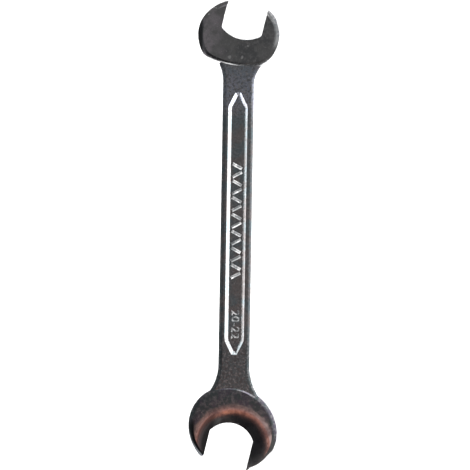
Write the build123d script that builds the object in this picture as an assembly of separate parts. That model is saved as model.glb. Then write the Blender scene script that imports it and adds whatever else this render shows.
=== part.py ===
from build123d import *
from math import asin, atan, cos, degrees, radians, sin
import os

# All lengths are in millimetres. The wrench lies flat: its shank runs along Y with the smaller head at
# the far end, its width lies along X, and it rests on the underside of both heads at height zero.
# The real object is one steel forging. Its three zones, divided at the steps where the heads rise out
# of the shank, are the three bodies here, and they meet face to face.

# Sizes across the flats of the two nuts, and the play that a mouth leaves on its nut
small_nut = 20.0
large_nut = 22.0
jaw_play = 0.2

# The wrench as a whole: its length from jaw tip to jaw tip, the thickness of both heads,
# and the lean of both mouths off the shank
overall_length = 235.2
head_thickness = 8.8
mouth_angle = 13.0

# The rim of a head, seen from above, is an egg of two half ellipses on one long axis, turned a little.
# Its half sizes and the place of its middle are shares of the nut size: aside is away from the wider
# jaw, and ahead is out of the mouth.
small_rim_side_share = 1.027
small_rim_front_share = 0.867
small_rim_back_share = 1.0
small_rim_aside_share = -0.065
small_rim_ahead_share = 0.085
small_rim_turn = 12.0
large_rim_side_share = 1.039
large_rim_front_share = 0.957
large_rim_back_share = 0.957
large_rim_aside_share = 0.011
large_rim_ahead_share = -0.03
large_rim_turn = -21.0

# The back of the smaller head is flatter than its egg, along a wide arc: how far behind the head's
# centre it runs, its radius, its turn towards the wider jaw, and the rounding where it meets the egg
small_back_share = 0.765
small_back_radius_share = 1.875
small_back_turn = 7.0
small_back_corner_radius = 8.0

# How far the smaller head's centre stands off the line of the shank, away from its wider jaw
small_head_aside = 0.6

# The throat at the end of a mouth: how far its deepest point lies behind the head's centre, how far its
# shoulders lie ahead of it, and the rounding of the shoulders
small_throat_depth = 0.7
small_throat_shoulder = 3.0
large_throat_depth = 3.8
large_throat_shoulder = 2.5
throat_corner_radius = 1.4

# Rounding of the tips of the wider and the narrower jaw, seen from above, and the bevel along the
# edges of each mouth: its depth, and its slope off the side of the mouth
small_wide_tip_radius = 0.5
small_narrow_tip_radius = 0.5
large_wide_tip_radius = 0.6
large_narrow_tip_radius = 1.4
small_mouth_bevel = 0.25
large_mouth_bevel = 0.1
mouth_bevel_angle = 45.0

# The roll of a head's rim, an arc from the face down to the side wall: its width in plan, and its slope
# where it leaves the face and where it meets the wall. Its step is the turn from one section to the next.
small_roll_width = 2.6
large_roll_width = 2.4
roll_face_angle = 10.0
roll_wall_angle = 34.0
roll_angle_step = 6.0
roll_steps = 4

# The larger head's faces are crowned: a flat land runs round the horseshoe, and the face falls away in
# a slow arc to either side of it, faster towards the mouth than towards the rim. The ring that the land
# follows is centred ahead of the head's centre and aside from it, towards the wider jaw.
crown_ahead_share = 0.315
crown_aside_share = 0.084
crown_ring_share = 0.891
crown_land = 0.8
crown_inner_radius = 80.0
crown_outer_radius = 160.0

# The shank between the heads. Its long edges roll over towards the sides, each along an arc that is cut
# off by the side before it gets steep: the radius of the arc, and how much of its width is cut off.
shank_width = 15.6
shank_thickness = 8.0
shank_roll_radius = 3.6
shank_roll_cut = 1.6

# The flares that widen the shank into each head: how far behind the rim each one starts, and its radius.
# Each head has one on the side of its wider jaw and one on the side of its narrower jaw. All turn through
# the same angle, which ends them inside the rim.
small_wide_flare_run = 6.6
small_wide_flare_radius = 19.0
small_narrow_flare_run = 8.2
small_narrow_flare_radius = 14.0
large_wide_flare_run = 12.0
large_wide_flare_radius = 28.0
large_narrow_flare_run = 12.0
large_narrow_flare_radius = 24.0
flare_angle = 45.0

# The sunk panel in both faces of the shank, long and narrow with pointed ends that are cut off blunt: how
# far each end stays from the head's rim, its width, the length of its points, the width of their blunt
# ends, its depth and the width of its walls
small_panel_margin = 12.2
large_panel_margin = 17.0
panel_width = 9.6
panel_point_length = 7.0
panel_end_width = 2.6
panel_depth = 1.3
panel_wall = 1.55
panel_shoulder_radius = 3.4

half_thickness = head_thickness / 2
shank_half_width = shank_width / 2
shank_half_thickness = shank_thickness / 2


def egg(nut, side_share, front_share, back_share, inset):
    """An egg seen from above, drawn in by the inset, with its front along Y."""
    side = nut * side_share - inset
    ahead = EllipticalCenterArc((0, 0), side, nut * front_share - inset, 0, arc_size=180)
    behind = EllipticalCenterArc((0, 0), side, nut * back_share - inset, 180, arc_size=180)
    return make_face([ahead, behind])


def small_rim(inset):
    """The rim of the smaller head seen from above, drawn in by the inset; the mouth opens along Y."""
    shape = egg(small_nut, small_rim_side_share, small_rim_front_share, small_rim_back_share, inset)
    middle = (small_nut * small_rim_aside_share, small_nut * small_rim_ahead_share, 0)
    shape = Location(middle, (0, 0, small_rim_turn)) * shape
    radius = small_nut * small_back_radius_share
    ahead = radius - small_nut * small_back_share
    shape &= Rot(0, 0, small_back_turn) * Location((0, ahead, 0)) * Circle(radius - inset)
    corners = shape.vertices().sort_by(Axis.Y)[:2]
    return fillet(corners, small_back_corner_radius - inset)


def large_rim(inset):
    """The rim of the larger head seen from above, drawn in by the inset; the mouth opens along Y."""
    shape = egg(large_nut, large_rim_side_share, large_rim_front_share, large_rim_back_share, inset)
    middle = (large_nut * large_rim_aside_share, large_nut * large_rim_ahead_share, 0)
    return Location(middle, (0, 0, large_rim_turn)) * shape


def mouth(nut, depth, shoulder):
    """The mouth seen from above: two parallel flats and a curved throat with rounded shoulders."""
    half_gap = (nut + jaw_play) / 2
    left = (-half_gap, shoulder)
    right = (half_gap, shoulder)
    throat = ThreePointArc(right, (0, -depth), left)
    flats = Polyline(left, (-half_gap, 2 * nut), (half_gap, 2 * nut), right)
    opening = make_face([throat, flats])
    return fillet(opening.vertices().group_by(Axis.Y)[0], throat_corner_radius)


def horseshoe(rim, opening, wide_radius, narrow_radius):
    """The head seen from above, with its mouth cut and its jaw tips rounded. The wider jaw is at -X."""
    shape = rim(0) - opening
    wide_tip = shape.vertices().sort_by(Axis.Y)[-2:].sort_by(Axis.X)[0]
    shape = fillet(wide_tip, wide_radius)
    narrow_tip = shape.vertices().filter_by(lambda corner: corner.X > 0).sort_by(Axis.Y)[-1]
    return fillet(narrow_tip, narrow_radius)


def rolled_slab(rim, roll_width):
    """A slab whose rim rolls over into both faces. Its waist stands just outside the rim's outline."""
    steep = sin(radians(roll_wall_angle))
    roll_radius = roll_width / (steep - sin(radians(roll_face_angle)))
    centre_height = half_thickness - roll_radius * cos(radians(roll_face_angle))
    upper = []
    lower = []
    for step in range(roll_steps, -1, -1):
        slope = radians(roll_face_angle + step * roll_angle_step)
        height = centre_height + roll_radius * cos(slope)
        outline = rim(roll_radius * (steep - sin(slope)))
        upper.append(Location((0, 0, height)) * outline)
        lower.insert(0, Location((0, 0, -height)) * outline)
    return loft(lower + upper) & extrude(rim(0), head_thickness, both=True)


def crown(nut):
    """A lens shaped ring, thickest along the land, that shapes the crowned faces of the larger head."""
    inner = nut * crown_ring_share - crown_land / 2
    outer = nut * crown_ring_share + crown_land / 2
    reach = nut / 2
    inner_angle = degrees(asin(inner / crown_inner_radius))
    outer_angle = degrees(asin(reach / crown_outer_radius))
    inner_middle = (inner, half_thickness - crown_inner_radius)
    outer_middle = (outer, half_thickness - crown_outer_radius)
    inner_fall = CenterArc(inner_middle, crown_inner_radius, 90, inner_angle)
    land = Line((inner, half_thickness), (outer, half_thickness))
    outer_fall = CenterArc(outer_middle, crown_outer_radius, 90, -outer_angle)
    sides = Polyline(inner_fall @ 1, (0, 0), (outer + reach, 0), outer_fall @ 1)
    profile = Plane.XZ * make_face([inner_fall, land, outer_fall, sides])
    upper = revolve(profile, Axis.Z)
    ring = upper + mirror(upper, Plane.XY)
    return Location((-nut * crown_aside_share, nut * crown_ahead_share, 0)) * ring


def bevelled(head, opening, bevel):
    """The head with the edges of its mouth bevelled on both faces."""
    brim = extrude(opening, 2 * bevel, taper=-mouth_bevel_angle)
    upper = Location((0, 0, half_thickness - bevel)) * brim
    return head - upper - mirror(upper, Plane.XY)


def shank_side(side, spare, small_start, small_radius, large_start, large_radius):
    """One long side of the shank, from the larger head to the smaller, with a flare at each end."""
    edge = side * (shank_half_width + spare)
    large_flare = JernArc((edge, large_start), (0, -1), large_radius - spare, side * flare_angle)
    straight = Line((edge, large_start), (edge, small_start))
    small_flare = JernArc((edge, small_start), (0, 1), small_radius - spare, -side * flare_angle)
    return [large_flare, straight, small_flare]


def shank_slab(spare):
    """The slab from inside one head to inside the other, flared at both ends, with this to spare."""
    left = shank_side(
        -1,
        spare,
        small_back - small_wide_flare_run,
        small_wide_flare_radius,
        large_back + large_narrow_flare_run,
        large_narrow_flare_radius,
    )
    right = shank_side(
        1,
        spare,
        small_back - small_narrow_flare_run,
        small_narrow_flare_radius,
        large_back + large_wide_flare_run,
        large_wide_flare_radius,
    )
    small_end = Line(left[2] @ 1, right[2] @ 1)
    large_end = Line(left[0] @ 1, right[0] @ 1)
    plan = make_face([*left, *right, small_end, large_end])
    return extrude(plan, shank_half_thickness, both=True)


def shank_bar():
    """The bar with its long edges rolled over."""
    slab = shank_slab(shank_roll_cut)
    edges = slab.faces().filter_by(Axis.Z).edges()
    rolled = fillet(edges.filter_by(GeomType.CIRCLE) + edges.filter_by(Axis.Y), shank_roll_radius)
    return rolled & shank_slab(0)


def panel_cutter():
    """The cutter for the sunk panel in the upper face: its floor, with walls that slope outwards."""
    small_point = small_back - small_panel_margin
    large_point = large_back + large_panel_margin
    small_shoulder = small_point - panel_point_length
    large_shoulder = large_point + panel_point_length
    corners = [
        (panel_end_width / 2, large_point),
        (panel_width / 2, large_shoulder),
        (panel_width / 2, small_shoulder),
        (panel_end_width / 2, small_point),
        (-panel_end_width / 2, small_point),
        (-panel_width / 2, small_shoulder),
        (-panel_width / 2, large_shoulder),
        (-panel_end_width / 2, large_point),
    ]
    edge = make_face(Polyline(*corners, close=True))
    floor = offset(edge, -panel_wall, kind=Kind.INTERSECTION)
    points = floor.vertices().group_by(Axis.X)
    floor = fillet(points[0] + points[-1], panel_shoulder_radius)
    wall_angle = degrees(atan(panel_wall / panel_depth))
    cutter = extrude(floor, 2 * panel_depth, taper=-wall_angle)
    return Location((0, 0, shank_half_thickness - panel_depth)) * cutter


# The two heads, each about its own centre with its mouth along Y. A blank is a head before its mouth.
small_mouth = mouth(small_nut, small_throat_depth, small_throat_shoulder)
small_plan = horseshoe(small_rim, small_mouth, small_wide_tip_radius, small_narrow_tip_radius)
small_blank = rolled_slab(small_rim, small_roll_width)
small_head = small_blank & extrude(small_plan, head_thickness, both=True)
small_head = bevelled(small_head, small_mouth, small_mouth_bevel)

large_mouth = mouth(large_nut, large_throat_depth, large_throat_shoulder)
large_plan = horseshoe(large_rim, large_mouth, large_wide_tip_radius, large_narrow_tip_radius)
large_blank = rolled_slab(large_rim, large_roll_width) & crown(large_nut)
large_head = large_blank & extrude(large_plan, head_thickness, both=True)
large_head = bevelled(large_head, large_mouth, large_mouth_bevel)

# The heads' places by the shank. Their mouths point opposite ways, and the jaw tips reach just as far
# from the middle of the wrench at either end.
small_turn = Rotation(0, 0, -mouth_angle)
large_turn = Rotation(0, 0, 180 - mouth_angle)
small_centre = overall_length / 2 - (small_turn * small_plan).bounding_box().max.Y
large_centre = -overall_length / 2 - (large_turn * large_plan).bounding_box().min.Y
small_place = Location((small_head_aside, small_centre, 0)) * small_turn
large_place = Location((0, large_centre, 0)) * large_turn

# How far along the wrench the backs of the two heads lie
small_back = small_centre - small_nut * small_back_share
large_back = large_centre + large_nut * large_rim_back_share

cutter = panel_cutter()
shank = shank_bar() - cutter - mirror(cutter, Plane.XY)
shank = shank - small_place * small_blank - large_place * large_blank

nodes = {
    "small_head": small_place * small_head,
    "shank": shank,
    "large_head": large_place * large_head,
}

os.makedirs("parts", exist_ok=True)
for name, body in nodes.items():
    export_step(Location((0, 0, half_thickness)) * body, f"parts/{name}.step")
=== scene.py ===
import bmesh
import bpy
from math import cos, degrees, pi, radians, sin
from mathutils import Matrix, Vector


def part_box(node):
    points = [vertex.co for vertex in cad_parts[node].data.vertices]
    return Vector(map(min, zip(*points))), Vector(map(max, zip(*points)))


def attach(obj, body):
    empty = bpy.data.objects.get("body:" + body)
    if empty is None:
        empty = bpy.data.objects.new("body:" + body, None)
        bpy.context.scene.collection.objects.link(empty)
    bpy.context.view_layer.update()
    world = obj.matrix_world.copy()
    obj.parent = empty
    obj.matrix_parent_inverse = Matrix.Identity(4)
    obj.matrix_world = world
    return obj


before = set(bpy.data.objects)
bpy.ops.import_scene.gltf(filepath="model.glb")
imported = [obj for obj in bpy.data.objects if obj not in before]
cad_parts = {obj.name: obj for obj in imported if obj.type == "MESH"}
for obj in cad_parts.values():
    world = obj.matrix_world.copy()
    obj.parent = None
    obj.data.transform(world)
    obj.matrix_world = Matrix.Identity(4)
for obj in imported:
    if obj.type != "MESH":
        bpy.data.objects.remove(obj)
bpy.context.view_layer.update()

# The smaller head: one end of the drop forging, its faces ground flat and its rim rolled by the die.
# Satin chrome over steel, with faint clouds, grinding hairlines and a few bright specks where the
# plating lies thin. Its upper face has painted shade along the edge beside the wider jaw.


class Wire:
    """One socket of a shader. Sums and products written on it add their Math nodes."""

    def __init__(self, tree, socket=None):
        self.tree = tree
        self.socket = socket

    def node(self, kind, settings=None, inputs=None, output=0):
        """Any node by its type: its settings first, then the values or wires of its sockets."""
        made = self.tree.nodes.new(kind)
        for name, value in (settings or {}).items():
            if name == "stops":
                ramp = made.color_ramp.elements
                while len(ramp) < len(value):
                    ramp.new(1.0)
                for stop, (position, colour) in zip(ramp, value):
                    stop.position = position
                    stop.color = colour
            else:
                setattr(made, name, value)
        for name, value in (inputs or {}).items():
            if isinstance(value, Wire):
                self.tree.links.new(value.socket, made.inputs[name])
            else:
                made.inputs[name].default_value = value
        return Wire(self.tree, made.outputs[output] if made.outputs else None)

    def maths(self, operation, first, second=0.0):
        return self.node("ShaderNodeMath", {"operation": operation}, {0: first, 1: second})

    def __add__(self, other):
        return self.maths("ADD", self, other)

    def __radd__(self, other):
        return self.maths("ADD", other, self)

    def __sub__(self, other):
        return self.maths("SUBTRACT", self, other)

    def __rsub__(self, other):
        return self.maths("SUBTRACT", other, self)

    def __mul__(self, other):
        return self.maths("MULTIPLY", self, other)

    def __rmul__(self, other):
        return self.maths("MULTIPLY", other, self)

    def rise(self, start, end):
        """0 before the start and 1 past the end, with a soft step between them."""
        limits = {"Value": self, "From Min": start, "From Max": end}
        return self.node("ShaderNodeMapRange", {"interpolation_type": "SMOOTHSTEP"}, limits)

    def band(self, low, high, soft):
        """1 between low and high and 0 outside, with edges that soft."""
        return self.rise(low - soft, low + soft) * (1 - self.rise(high - soft, high + soft))

    def mix(self, first, second):
        """The first colour where this mask is 0 and the second where it is 1."""
        colours = {"Factor": self, 6: first, 7: second}
        return self.node("ShaderNodeMix", {"data_type": "RGBA"}, colours, output=2)

    def axis(self, letter):
        """One coordinate of this place: X, Y or Z."""
        return self.node("ShaderNodeSeparateXYZ", None, {"Vector": self}, output=letter)

    def scaled(self, *factors):
        """This place with each coordinate times its factor: a small one stretches a pattern."""
        return self.node("ShaderNodeMapping", None, {"Vector": self, "Scale": factors})

    def distance(self, middle):
        """How far this place is from a point."""
        ends = {0: self, 1: middle}
        return self.node("ShaderNodeVectorMath", {"operation": "DISTANCE"}, ends, output="Value")

    def noise(self, scale, detail=2.0, roughness=0.5):
        """Noise of this grain, read at this place."""
        grain = {"Vector": self, "Scale": scale, "Detail": detail, "Roughness": roughness}
        return self.node("ShaderNodeTexNoise", None, grain)


def new_finish(name):
    """An empty material, and the place on the object that its patterns are read at."""
    material = bpy.data.materials.new(name)
    material.use_nodes = True
    material.node_tree.nodes.clear()
    place = Wire(material.node_tree).node("ShaderNodeTexCoord", output="Object")
    return material, place


def plate(place, colour, roughness, relief, relief_height):
    """The chrome itself, from its colour, its roughness and its fine relief."""
    bump = {"Height": relief, "Distance": relief_height, "Strength": 1.0}
    surface = {
        "Base Color": colour,
        "Roughness": roughness,
        "Metallic": 1.0,
        "Normal": place.node("ShaderNodeBump", None, bump),
    }
    shaded = place.node("ShaderNodeBsdfPrincipled", None, surface)
    place.node("ShaderNodeOutputMaterial", None, {"Surface": shaded})


def give(node, material):
    """Puts the finish on a forged piece."""
    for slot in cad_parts[node].material_slots:
        slot.material = material


satin_steel = (0.52, 0.52, 0.52, 1.0)
satin_jaw = (0.86, 0.8, 0.85, 1.0)
satin_cloud = (0.37, 0.38, 0.39, 1.0)
satin_grain = (0.64, 0.635, 0.64, 1.0)
satin_speck = (1.0, 1.0, 1.0, 1.0)
# Painted shade: a dark tone on the upper face's edge beside the wider jaw.
satin_painted_shade = (0.2, 0.2, 0.21, 1.0)
satin_relief = 0.000001
# Each fade is the pair of coordinates or distances between which a tone comes in or goes out.
upper_fade = (0.0064, 0.0074)
wide_jaw_fade = (-0.013, -0.004)
painted_shade_edge_fade = (-0.019, -0.0176)

small_finish, place = new_finish("satin_chrome_small_head")
clouds = place.noise(150.0, detail=3.0).rise(0.4, 0.6)
grain = place.noise(620.0).rise(0.46, 0.66)
specks = place.noise(330.0, detail=0.0).rise(0.76, 0.8)
hairlines = place.scaled(1.0, 14.0, 1.0).noise(420.0)
across = place.axis("X")
wide_jaw = 1 - across.rise(*wide_jaw_fade)
# Painted shade, on the upper face only, along its edge beside the wider jaw.
painted_shade = place.axis("Z").rise(*upper_fade) * (1 - across.rise(*painted_shade_edge_fade))
plain = clouds.mix(satin_steel, satin_cloud)
colour = wide_jaw.mix(plain, clouds.mix(satin_steel, satin_jaw))
colour = (grain * 0.7).mix(colour, satin_grain)
colour = painted_shade.mix(specks.mix(colour, satin_speck), satin_painted_shade)
roughness = 0.12 + 0.03 * clouds + 0.04 * hairlines
plate(place, colour, roughness, hairlines * 0.4 + place.noise(1600.0) * 0.6, satin_relief)
give("small_head", small_finish)

# The shank: the bar of the same forging, left a little coarser by the die. Satin chrome again, brushed
# along its length, with pits and bright grains that show more where it widens into the heads. Near the
# smaller head, a light bluish band across it is a painted highlight.

shank_low, shank_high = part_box("shank")

teal_steel = (0.475, 0.56, 0.595, 1.0)
warm_steel = (0.56, 0.52, 0.515, 1.0)
low_neck_steel = (0.385, 0.445, 0.465, 1.0)
# A painted highlight: a light bluish tone across the shank near the smaller head.
painted_highlight_blue = (0.8, 0.84, 1.0, 1.0)
bright_grain = (0.78, 0.77, 0.79, 1.0)
dull_grain = (0.34, 0.34, 0.34, 1.0)
shank_relief = 0.0000012
low_neck_fade = (shank_low.y + 0.014, shank_low.y + 0.04)
neck_highlight_from = shank_high.y - 0.024
neck_highlight_to = shank_high.y - 0.004
neck_highlight_edge = 0.008

shank_finish, place = new_finish("satin_chrome_shank")
along = place.axis("Y")
low_neck = 1 - along.rise(*low_neck_fade)
# The band near the smaller head: a painted highlight, with more grains and pits.
painted_highlight_and_grain_band = along.band(neck_highlight_from, neck_highlight_to, neck_highlight_edge)
clouds = place.noise(130.0, detail=3.0).rise(0.4, 0.6)
grain = place.noise(800.0).rise(0.5, 0.62)
pits = place.noise(1000.0, detail=1.0, roughness=0.4).rise(0.52, 0.62)
brushing = place.scaled(1.0, 0.06, 1.0).noise(900.0)
colour = (painted_highlight_and_grain_band * 0.8).mix(clouds.mix(teal_steel, warm_steel), painted_highlight_blue)
colour = (low_neck * 0.8).mix(colour, low_neck_steel)
colour = (grain * (0.4 + 0.35 * low_neck + 0.4 * painted_highlight_and_grain_band)).mix(colour, bright_grain)
colour = (pits * (0.35 + 0.5 * low_neck + 0.35 * painted_highlight_and_grain_band)).mix(colour, dull_grain)
roughness = 0.18 + 0.04 * clouds + 0.05 * brushing
plate(place, colour, roughness, brushing * 0.4 + place.noise(1500.0) * 0.6, shank_relief)
give("shank", shank_finish)

# The larger head: the other end of the forging, crowned and buffed after plating, so it mirrors its
# surroundings. The buffing missed its outer rim, which stays grained and duller. Its upper face has
# painted shade beside the narrower jaw, at the mouth and on the upper rim.

crown_middle = (0.00025, -0.10465, 0.0)
crown_ring = 0.0196
rim_middle = (-0.0001, -0.0968, 0.0)
polished_steel = (0.66, 0.65, 0.64, 1.0)
smeared_steel = (0.37, 0.355, 0.37, 1.0)
rim_steel = (0.26, 0.3, 0.31, 1.0)
rim_violet = (0.32, 0.295, 0.355, 1.0)
rim_grain = (0.52, 0.505, 0.53, 1.0)
# Painted shade on the upper face: a dark tone inside the crown beside the narrower jaw, and a darker one
# on the outer rim there.
painted_shade_grey = (0.16, 0.155, 0.16, 1.0)
deep_painted_shade_grey = (0.092, 0.097, 0.104, 1.0)
polished_relief = 0.000003
rim_waver = 0.003
rim_fade = (crown_ring + 0.0016, crown_ring + 0.0036)
painted_shade_ring_fade = (crown_ring - 0.0019, crown_ring - 0.0008)
painted_shade_side_fade = (-0.011, -0.006)
deep_shade_ring_fade = (0.0189, 0.0197)
deep_shade_side_fade = (-0.0115, -0.0085)
deep_shade_end_fade = (-0.096, -0.09)

large_finish, place = new_finish("polished_chrome_large_head")
across = place.axis("X")
top_side = place.axis("Z").rise(*upper_fade)
flat_place = place.scaled(1.0, 1.0, 0.0)
outward = flat_place.distance(crown_middle)
rim = (outward + place.noise(260.0) * rim_waver).rise(*rim_fade)
# Painted shade, on the upper face only: dark inside the crown beside the narrower jaw, darker still on the
# outer rim towards the head's end.
painted_shade = top_side * (1 - across.rise(*painted_shade_side_fade))
painted_shade = painted_shade * (1 - outward.rise(*painted_shade_ring_fade))
deep_painted_shade = top_side * flat_place.distance(rim_middle).rise(*deep_shade_ring_fade)
deep_painted_shade = deep_painted_shade * (1 - across.rise(*deep_shade_side_fade)) * (1 - place.axis("Y").rise(*deep_shade_end_fade))
smears = place.noise(110.0, detail=4.0, roughness=0.6).rise(0.42, 0.64)
grain = place.noise(620.0).rise(0.46, 0.64)
violet = place.noise(210.0, detail=1.0).rise(0.45, 0.6)
scratches = place.scaled(1.0, 9.0, 1.0).noise(700.0)
rim_colour = grain.mix(violet.mix(rim_steel, rim_violet), rim_grain)
colour = rim.mix(smears.mix(polished_steel, smeared_steel), rim_colour)
colour = deep_painted_shade.mix(painted_shade.mix(colour, painted_shade_grey), deep_painted_shade_grey)
roughness = 0.07 + 0.02 * smears + 0.02 * scratches + 0.13 * rim
plate(place, colour, roughness, scratches * 0.5 + place.noise(240.0) * 0.5, polished_relief)
give("large_head", large_finish)

# The raised marks in the panel on both faces: a run of plain slanted ribs, and the two nut sizes in
# plain figures. They are forged with the shank and stand up from the panel's floor, under the rim.
# Their chrome is left grained, so they read lighter than the floor round them.

half_thickness = 0.0044
panel_floor = 0.0071
mark_height = 0.00045
mark_slope = 0.00054
rib_length = 0.0054
rib_width = 0.0015
rib_slant = radians(28)
rib_pitch = 0.0042
rib_count = 14
first_rib = 0.03474
figures_middle = -0.0443
figure_height = 0.0042
figure_bevel = 0.0003
figure_thinning = -0.00014
figure_spacing = 1.08
figure_share_of_type = 0.72
mark_steel = (0.42, 0.43, 0.44, 1.0)
mark_worn = (0.95, 0.95, 0.95, 1.0)
mark_relief = 0.000002

mark_finish, place = new_finish("grained_chrome_marks")
worn = place.noise(400.0).rise(0.45, 0.6)
plate(place, worn.mix(mark_steel, mark_worn), 0.46 - 0.06 * worn, place.noise(1500.0), mark_relief)


def whole(mesh):
    """Every corner, edge and face of a mesh, as the operators want them."""
    return mesh.verts[:] + mesh.edges[:] + mesh.faces[:]


def raised_bar(mesh, along, turn):
    """A straight rib lying on the panel's floor, with sloping sides."""
    made = bmesh.ops.create_cube(mesh, size=1.0)["verts"]
    for corner in made:
        inset = 2 * mark_slope if corner.co.z > 0 else 0.0
        corner.co.x *= rib_length - inset
        corner.co.y *= rib_width - inset
        corner.co.z = (corner.co.z + 0.5) * mark_height
    laid = Matrix.Translation((0, along, panel_floor)) @ Matrix.Rotation(turn, 4, "Z")
    bmesh.ops.transform(mesh, matrix=laid, verts=made)


def on_both_faces(mesh):
    """Repeats the marks on the underside, and turns all their faces outward."""
    turned_over = Matrix.Translation((0, 0, 2 * half_thickness)) @ Matrix.Rotation(pi, 4, "Y")
    copies = bmesh.ops.duplicate(mesh, geom=whole(mesh))["geom"]
    corners = [item for item in copies if isinstance(item, bmesh.types.BMVert)]
    bmesh.ops.transform(mesh, matrix=turned_over, verts=corners)
    bmesh.ops.recalc_face_normals(mesh, faces=mesh.faces)


def built(name, mesh, material):
    """A mesh that is done, as an object of the scene."""
    data = bpy.data.meshes.new(name)
    mesh.to_mesh(data)
    mesh.free()
    data.materials.append(material)
    piece = bpy.data.objects.new(name, data)
    bpy.context.scene.collection.objects.link(piece)
    return piece


ribs = bmesh.new()
for step in range(rib_count):
    raised_bar(ribs, first_rib - rib_pitch * step, rib_slant if step % 2 else -rib_slant)

type_set = bpy.data.curves.new("size_figures", "FONT")
type_set.body = "20-22"
type_set.align_x = "CENTER"
type_set.align_y = "CENTER"
type_set.size = figure_height / figure_share_of_type
type_set.offset = figure_thinning
type_set.space_character = figure_spacing
type_set.bevel_depth = figure_bevel
type_set.bevel_resolution = 0
type_set.resolution_u = 4
type_object = bpy.data.objects.new("size_figures_text", type_set)
bpy.context.scene.collection.objects.link(type_object)
bpy.context.view_layer.update()
shape = bpy.data.meshes.new_from_object(type_object.evaluated_get(bpy.context.evaluated_depsgraph_get()))
bpy.data.objects.remove(type_object)

# The lower half of the figures' bevel is cut away and the cut is closed, so they end on the floor.
figures = bmesh.new()
figures.from_mesh(shape)
bmesh.ops.remove_doubles(figures, verts=figures.verts, dist=1e-6)
cut = bmesh.ops.bisect_plane(
    figures, geom=whole(figures), dist=1e-7, plane_no=(0, 0, 1), clear_inner=True
)["geom_cut"]
brim = [item for item in cut if isinstance(item, bmesh.types.BMEdge)]
bmesh.ops.triangle_fill(figures, use_beauty=True, use_dissolve=False, edges=brim)
laid = Matrix.Translation((0, figures_middle, panel_floor)) @ Matrix.Rotation(-pi / 2, 4, "Z")
bmesh.ops.transform(figures, matrix=laid, verts=figures.verts)

for name, mesh in (("panel_ribs", ribs), ("size_figures", figures)):
    on_both_faces(mesh)
    piece = built(name, mesh, mark_finish)
    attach(piece, "root")

# The floor that the wrench lies on: a plain white sheet, far wider than the view. It lies a hair below
# the wrench, so that no two faces share a plane, and the chrome mirrors the studio instead of it.

floor_reach = 6.0
floor_gap = 0.0001
paper_pale = (0.83, 0.83, 0.83, 1.0)
paper_white = (0.87, 0.87, 0.87, 1.0)

sheet = bmesh.new()
bmesh.ops.create_circle(sheet, cap_ends=True, radius=floor_reach, segments=64)
bmesh.ops.translate(sheet, vec=(0, 0, -floor_gap), verts=sheet.verts)
floor_finish, place = new_finish("white_sheet")
paper = {"Base Color": place.noise(6.0).mix(paper_pale, paper_white), "Roughness": 0.9}
shaded = place.node("ShaderNodeBsdfPrincipled", None, paper)
place.node("ShaderNodeOutputMaterial", None, {"Surface": shaded})
floor = built("floor", sheet, floor_finish)
floor.visible_glossy = False

# The studio: white walls all round the table, which begin at another height on each side, a dark
# ceiling above it, and one warm card in the ceiling that the polished head mirrors.

white_wall = (2.6, 2.6, 2.6, 1.0)
# Pairs of the angle round the horizon, from the right, and the angle off the zenith where the wall begins.
wall_starts = (
    (-180, 80), (-168, 76), (-152, 64), (-132, 50), (-122, 43), (-117, 31), (-108, 36), (-104, 88),
    (-86, 88), (-80, 47), (-50, 45), (-42, 52), (-34, 62), (10, 62), (20, 58), (32, 56), (40, 74),
    (106, 76), (180, 80),
)
ceiling = (0.12, 0.119, 0.12, 1.0)
ceiling_left = (0.068, 0.072, 0.074, 1.0)
ceiling_beam = (0.078, 0.075, 0.077, 1.0)
ceiling_front = (0.055, 0.052, 0.05, 1.0)
ceiling_end = (0.1, 0.095, 0.09, 1.0)
card_back = (0.24, 0.122, 0.107, 1.0)
card_left = (0.22, 0.11, 0.095, 1.0)
card_glow = (0.6, 0.22, 0.16, 1.0)
card_orange = (0.95, 0.38, 0.23, 1.0)
card_pink = (0.9, 0.6, 0.54, 1.0)
card_pale = (1.0, 0.76, 0.73, 1.0)
card_grey = (0.45, 0.39, 0.39, 1.0)
wall_wash = (0.56, 0.57, 0.58, 1.0)
wall_dim = (0.85, 0.85, 0.87, 1.0)
wall_foot = (0.42, 0.42, 0.43, 1.0)
window = (1.8, 1.8, 1.8, 1.0)
doorway = (0.02, 0.02, 0.022, 1.0)
table_far = (0.5, 0.5, 0.51, 1.0)
table_near = (0.16, 0.16, 0.16, 1.0)
lamp_width = 1.6
lamp_power = 75.0
lamp_up = 1.6

studio = bpy.data.worlds.new("studio")
studio.use_nodes = True
studio.node_tree.nodes.clear()
bpy.context.scene.world = studio

# All angles are in degrees: off the zenith, round the horizon from the right, and away from the zenith
# to the right and to the smaller head's end.
direction = Wire(studio.node_tree).node("ShaderNodeTexCoord")
east, north, up = direction.axis("X"), direction.axis("Y"), direction.axis("Z")
off_zenith = direction.maths("ARCCOSINE", up) * degrees(1)
azimuth = direction.maths("ARCTAN2", north, east) * degrees(1)
right = direction.maths("ARCTAN2", east, up) * degrees(1)
far = direction.maths("ARCTAN2", north, up) * degrees(1)
near_zenith = 1 - off_zenith.rise(22, 28)

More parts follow.
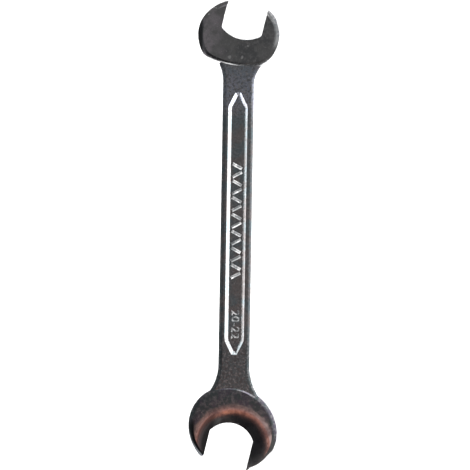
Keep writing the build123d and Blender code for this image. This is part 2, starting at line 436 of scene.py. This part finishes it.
light = ceiling
for shade, mask in (
    (ceiling_left, (1 - right.rise(-18, -11)) * (1 - azimuth.band(-152, 146, 8))),
    (ceiling_beam, (1 - right.rise(-10.4, -9.2)) * far.band(-24, -4, 1.5) * near_zenith),
    (ceiling_front, (1 - far.rise(-15.2, -14.2)) * near_zenith),
    (ceiling_end, (1 - far.rise(-19.0, -17.6)) * near_zenith),
    (card_back, right.band(-8.1, -4.3, 0.4) * far.band(-14.4, -6.9, 0.4)),
    (card_left, right.band(-9.8, -7.8, 0.4) * far.band(-13.8, -9.2, 0.5)),
    (card_glow, right.band(-7.2, -4.7, 0.5) * far.band(-13.0, -8.4, 0.8)),
    (card_orange, right.band(-6.2, -5.1, 0.4) * far.band(-11.6, -9.8, 0.5)),
    (card_pink, right.band(-7.5, -6.8, 0.2) * far.band(-9.0, -7.9, 0.3)),
    (card_pale, right.band(-5.3, -4.1, 0.3) * far.band(-9.2, -7.6, 0.3)),
    (card_grey, right.band(-3.9, -2.6, 0.3) * far.band(-11.0, -7.4, 0.5)),
    (wall_wash, azimuth.band(-10, 54, 8) * off_zenith.band(28, 66, 10)),
    (wall_dim, azimuth.band(36, 100, 5) * off_zenith.band(50, 80, 4)),
    (wall_foot, azimuth.band(62, 118, 6) * off_zenith.band(27, 42, 2)),
    (window, azimuth.band(62, 82, 4) * off_zenith.band(25, 42, 2)),
    (doorway, azimuth.band(-172, -120, 3) * off_zenith.band(13, 44, 3)),
    (doorway, azimuth.band(-120, -108, 3) * off_zenith.band(13, 27, 1)),
):
    light = mask.mix(light, shade)
stops = [((turn + 180) / 360, (height / 90,) * 3 + (1.0,)) for turn, height in wall_starts]
round_part = {"Fac": (azimuth + 180) * (1 / 360)}
wall_start = direction.node("ShaderNodeValToRGB", {"stops": stops}, round_part) * 90
light = (off_zenith - wall_start).rise(-3, 3).mix(light, white_wall)
# Steep edges mirror what is below the horizon: a grey table, and the white sheet right under them.
below = off_zenith.rise(100, 150).mix(table_far, table_near)
below = off_zenith.rise(152, 164).mix(below, white_wall)
light = off_zenith.rise(94, 102).mix(light, below)
sky = direction.node("ShaderNodeBackground", None, {"Color": light, "Strength": 1.0})
direction.node("ShaderNodeOutputWorld", None, {"Surface": sky})

lamp_data = bpy.data.lights.new("ceiling_lamp", "AREA")
lamp_data.shape = "DISK"
lamp_data.size = lamp_width
lamp_data.energy = lamp_power
lamp = bpy.data.objects.new("ceiling_lamp", lamp_data)
lamp.location = (0.0, 0.0, lamp_up)
lamp.visible_glossy = False
bpy.context.scene.collection.objects.link(lamp)
bpy.context.scene.view_settings.view_transform = "Standard"

# The camera: straight above the wrench, a little to its right, as far off as a hand held camera. Its
# view is turned and shifted by as much as the photograph's is.

film_width = 36.0
view_tilt = radians(6)
view_roll = radians(0.967)
view_distance = 0.7
view_height = 0.23594
view_left = 0.000843
view_up = 0.000351

image_up = Vector((-sin(view_roll), cos(view_roll), 0))
image_right = Vector((cos(view_roll), sin(view_roll), 0))
target = Vector((0, 0, half_thickness)) - view_left * image_right + view_up * image_up
towards = Vector((sin(view_tilt), 0, cos(view_tilt)))
sideways = image_up.cross(towards).normalized()
facing = Matrix((sideways, towards.cross(sideways), towards)).transposed()
camera_data = bpy.data.cameras.new("camera")
camera_data.sensor_width = film_width
camera_data.lens = film_width * view_distance / view_height
camera = bpy.data.objects.new("camera", camera_data)
camera.matrix_world = Matrix.Translation(target + view_distance * towards) @ facing.to_4x4()
bpy.context.scene.collection.objects.link(camera)
bpy.context.scene.camera = camera
